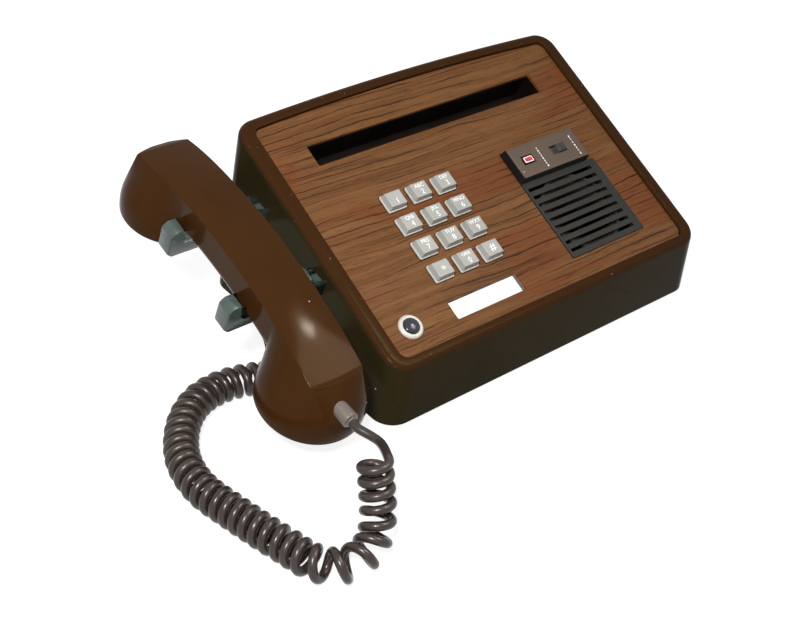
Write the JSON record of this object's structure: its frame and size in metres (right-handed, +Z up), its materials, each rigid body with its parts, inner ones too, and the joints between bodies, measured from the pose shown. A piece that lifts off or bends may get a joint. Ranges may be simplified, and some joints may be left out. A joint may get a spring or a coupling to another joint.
{
  "type": "corded desk telephone",
  "caption": "Desk telephone: sloped wood-grain panel with push keys, loudspeaker grille, switches and card slot, and a handset in clear side hooks on a curly cord.",
  "frame": {"origin": "under the middle of the object's box, case and handset together, at table level", "axes": "+X to the user's right along the case's front, +Y from the front to the back, +Z up"},
  "size_m": [0.3743, 0.2668, 0.1185],
  "materials": {
    "case_brown": "glossy moulded dark brown",
    "base_black": "plain moulded black",
    "rubber": "soft dark rubber",
    "steel": "plated sheet and pin",
    "panel_wood": "walnut grain laminate, satin",
    "slot_black": "matt black",
    "card_white": "plain white card",
    "clear": "frosted clear plastic",
    "inner_black": "dark moulded plastic",
    "board_green": "circuit board",
    "key_grey": "satin light grey",
    "grille_black": "charcoal",
    "cone_paper": "brown paper cone",
    "block_brown": "satin grey-brown",
    "red": "red cap",
    "knob_black": "black",
    "ring_white": "cream white",
    "button_dark": "blue-black, glossy",
    "handset_brown": "glossy brown",
    "capsule_metal": "pressed metal capsule",
    "cord_brown": "satin dark brown sheath"
  },
  "bodies": {
    "base": {"housing": "case_brown", "base_plate": "base_black", "rubber_feet": "rubber", "cord_grommet": "rubber", "base_screws": "steel", "speaker_frame": "steel", "cradle_bracket": "steel", "cradle_axle": "steel", "faceplate": "panel_wood", "card_pocket": "slot_black", "card_tray": "slot_black", "number_card": "card_white", "card_lens": "clear", "keypad_frame": "inner_black", "option_switches": "inner_black", "button_switch": "inner_black", "hook_switch": "inner_black", "line_jack": "inner_black", "ringer": "inner_black", "circuit_parts": "inner_black", "speaker_magnet": "inner_black", "keypad_board": "board_green", "main_board": "board_green", "grille": "grille_black", "speaker_cone": "cone_paper", "switch_block": "block_brown", "button_ring": "ring_white", "handset_cord": "cord_brown"},
    "key_star": {"key_star": "key_grey"},
    "key_0": {"key_0": "key_grey"},
    "key_hash": {"key_hash": "key_grey"},
    "key_7": {"key_7": "key_grey"},
    "key_8": {"key_8": "key_grey"},
    "key_9": {"key_9": "key_grey"},
    "key_4": {"key_4": "key_grey"},
    "key_5": {"key_5": "key_grey"},
    "key_6": {"key_6": "key_grey"},
    "key_1": {"key_1": "key_grey"},
    "key_2": {"key_2": "key_grey"},
    "key_3": {"key_3": "key_grey"},
    "red_button": {"red_button": "red"},
    "round_button": {"round_button": "button_dark"},
    "slide_knob": {"slide_knob": "knob_black"},
    "cradle": {"cradle_bar": "inner_black", "hook_front_fork": "clear", "hook_back_fork": "clear"},
    "handset": {"handset_shell": "handset_brown", "ear_cap": "handset_brown", "mouth_cap": "handset_brown", "receiver": "capsule_metal", "transmitter": "capsule_metal", "cord_boot": "rubber"}
  },
  "joints": [
    {"name": "key_star_press", "type": "slide", "parent": "base", "child": "key_star", "axis": [0, 0.4431, -0.8965], "range_m": [0, 0.002], "stiffness_N_per_m": 400, "springref_m": -0.0005},
    {"name": "key_0_press", "type": "slide", "parent": "base", "child": "key_0", "axis": [0, 0.4431, -0.8965], "range_m": [0, 0.002], "stiffness_N_per_m": 400, "springref_m": -0.0005},
    {"name": "key_hash_press", "type": "slide", "parent": "base", "child": "key_hash", "axis": [0, 0.4431, -0.8965], "range_m": [0, 0.002], "stiffness_N_per_m": 400, "springref_m": -0.0005},
    {"name": "key_7_press", "type": "slide", "parent": "base", "child": "key_7", "axis": [0, 0.4431, -0.8965], "range_m": [0, 0.002], "stiffness_N_per_m": 400, "springref_m": -0.0005},
    {"name": "key_8_press", "type": "slide", "parent": "base", "child": "key_8", "axis": [0, 0.4431, -0.8965], "range_m": [0, 0.002], "stiffness_N_per_m": 400, "springref_m": -0.0005},
    {"name": "key_9_press", "type": "slide", "parent": "base", "child": "key_9", "axis": [0, 0.4431, -0.8965], "range_m": [0, 0.002], "stiffness_N_per_m": 400, "springref_m": -0.0005},
    {"name": "key_4_press", "type": "slide", "parent": "base", "child": "key_4", "axis": [0, 0.4431, -0.8965], "range_m": [0, 0.002], "stiffness_N_per_m": 400, "springref_m": -0.0005},
    {"name": "key_5_press", "type": "slide", "parent": "base", "child": "key_5", "axis": [0, 0.4431, -0.8965], "range_m": [0, 0.002], "stiffness_N_per_m": 400, "springref_m": -0.0005},
    {"name": "key_6_press", "type": "slide", "parent": "base", "child": "key_6", "axis": [0, 0.4431, -0.8965], "range_m": [0, 0.002], "stiffness_N_per_m": 400, "springref_m": -0.0005},
    {"name": "key_1_press", "type": "slide", "parent": "base", "child": "key_1", "axis": [0, 0.4431, -0.8965], "range_m": [0, 0.002], "stiffness_N_per_m": 400, "springref_m": -0.0005},
    {"name": "key_2_press", "type": "slide", "parent": "base", "child": "key_2", "axis": [0, 0.4431, -0.8965], "range_m": [0, 0.002], "stiffness_N_per_m": 400, "springref_m": -0.0005},
    {"name": "key_3_press", "type": "slide", "parent": "base", "child": "key_3", "axis": [0, 0.4431, -0.8965], "range_m": [0, 0.002], "stiffness_N_per_m": 400, "springref_m": -0.0005},
    {"name": "red_button_press", "type": "slide", "parent": "base", "child": "red_button", "axis": [0, 0.4431, -0.8965], "range_m": [0, 0.0015], "stiffness_N_per_m": 400, "springref_m": -0.0005},
    {"name": "round_button_press", "type": "slide", "parent": "base", "child": "round_button", "axis": [0, 0.4431, -0.8965], "range_m": [0, 0.002], "stiffness_N_per_m": 400, "springref_m": -0.0005},
    {"name": "slide_switch", "type": "slide", "parent": "base", "child": "slide_knob", "axis": [-1, 0, 0], "range_m": [0, 0.0048]},
    {"name": "cradle_rock", "type": "hinge", "parent": "base", "child": "cradle", "pos_m": [-0.06835, 0.00673, 0.06675], "axis": [0, 0.9511, 0.309], "range_deg": [0, 3]},
    {"name": "handset_lift", "type": "slide", "parent": "base", "child": "handset", "axis": [0, -0.309, 0.9511], "range_m": [0, 0.045]}
  ],
  "couplings": [
    {"joint": "cradle_rock", "follows": "handset_lift", "rad_per_m": 1.1635}
  ]
}
